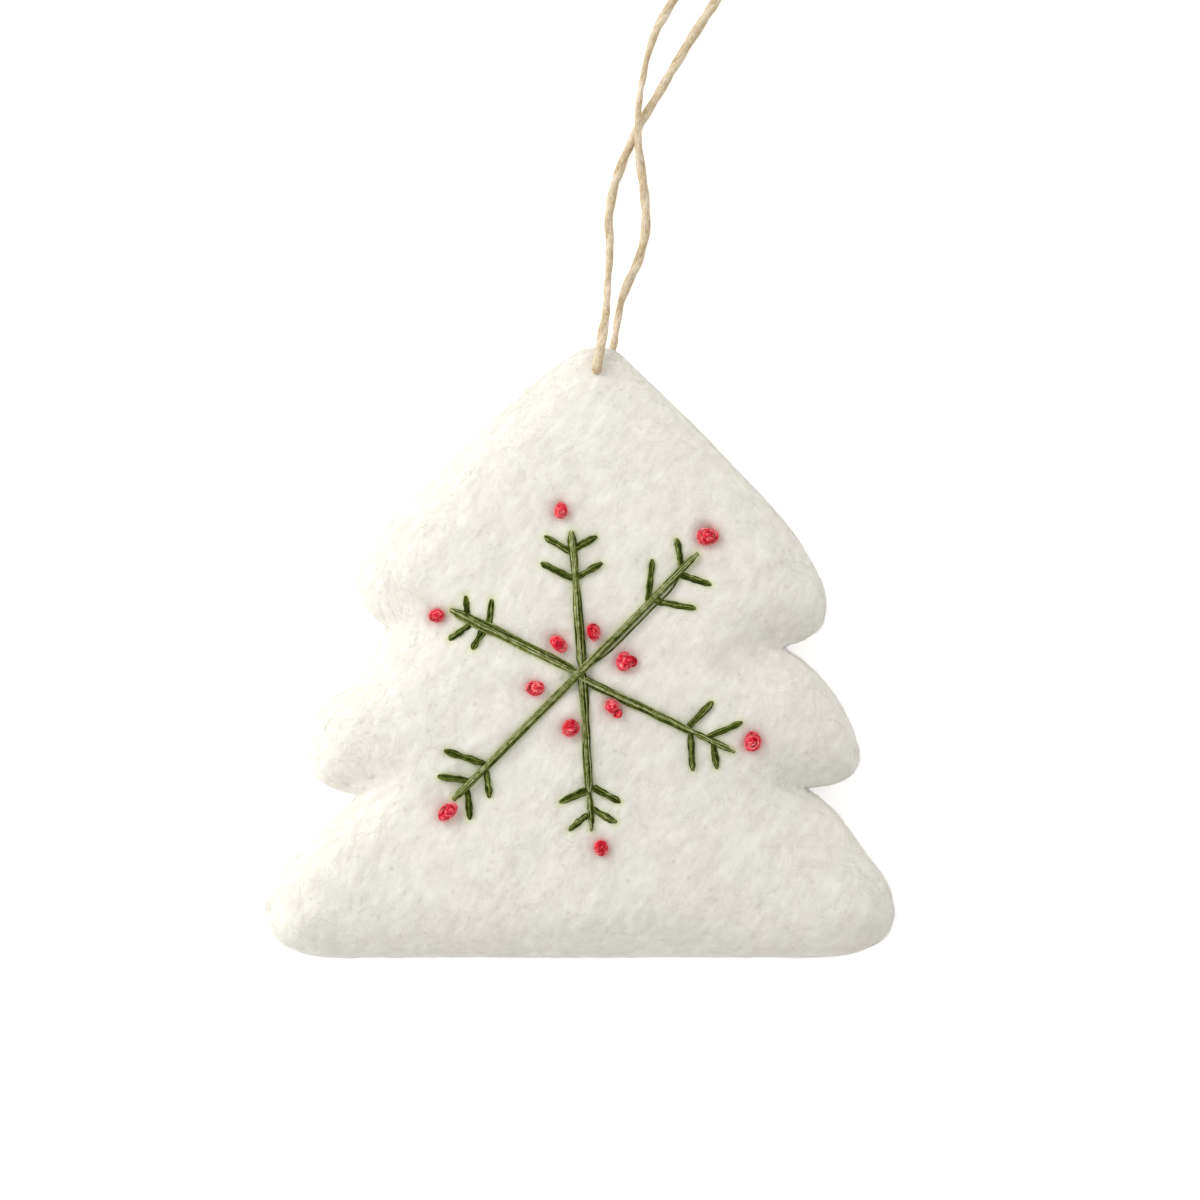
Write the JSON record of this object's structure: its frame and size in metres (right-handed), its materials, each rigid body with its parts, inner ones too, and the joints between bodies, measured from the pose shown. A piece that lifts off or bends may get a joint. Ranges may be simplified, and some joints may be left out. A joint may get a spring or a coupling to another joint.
{
  "type": "felt christmas ornament",
  "caption": "Needle-felted wool tree ornament with an embroidered snowflake, French knots and a twine hanging loop, lying on its back.",
  "frame": {"origin": "under the middle of the wool body's box, on the surface that its back rests on", "axes": "+X to the right across the embroidered front, +Y to the tree's tip, +Z out of the front"},
  "size_m": [0.1, 0.188, 0.0198],
  "materials": {
    "wool_felt": "needle-felted cream wool, matt and fibrous",
    "green_floss": "stranded embroidery floss, soft sheen",
    "red_floss": "stranded embroidery floss, soft sheen",
    "natural_twine": "two-ply natural twine, matt with stray fibres"
  },
  "bodies": {
    "root": {"felt_body": "wool_felt", "green_diagonal_stitch": "green_floss", "green_north_arm": "green_floss", "green_southeast_arm": "green_floss", "green_southeast_arm_tip": "green_floss", "green_south_arm": "green_floss", "green_south_arm_tip": "green_floss", "green_northwest_arm": "green_floss", "green_north_inner_left": "green_floss", "green_north_inner_right": "green_floss", "green_north_outer_left": "green_floss", "green_north_outer_right": "green_floss", "green_northeast_inner_left": "green_floss", "green_northeast_inner_right": "green_floss", "green_northeast_outer_left": "green_floss", "green_northeast_outer_right": "green_floss", "green_southeast_inner_left": "green_floss", "green_southeast_inner_right": "green_floss", "green_southeast_outer_left": "green_floss", "green_southeast_outer_right": "green_floss", "green_south_inner_left": "green_floss", "green_south_inner_right": "green_floss", "green_south_outer_left": "green_floss", "green_south_outer_right": "green_floss", "green_southwest_inner_left": "green_floss", "green_southwest_inner_right": "green_floss", "green_southwest_outer_left": "green_floss", "green_southwest_outer_right": "green_floss", "green_northwest_inner_left": "green_floss", "green_northwest_inner_right": "green_floss", "green_northwest_outer_left": "green_floss", "green_northwest_outer_right": "green_floss", "red_knot_north_tip": "red_floss", "red_knot_northeast_tip": "red_floss", "red_knot_southeast_tip": "red_floss", "red_knot_south_tip": "red_floss", "red_knot_southwest_tip": "red_floss", "red_knot_northwest_tip": "red_floss", "red_knot_north_northeast": "red_floss", "red_knot_east": "red_floss", "red_knot_south_southeast": "red_floss", "red_knot_south_southwest": "red_floss", "red_knot_west": "red_floss", "red_knot_north_northwest": "red_floss", "twine_front_leg": "natural_twine", "twine_inside_tip": "natural_twine", "twine_back_leg": "natural_twine", "twine_loop_knot": "natural_twine"}
  },
  "joints": []
}
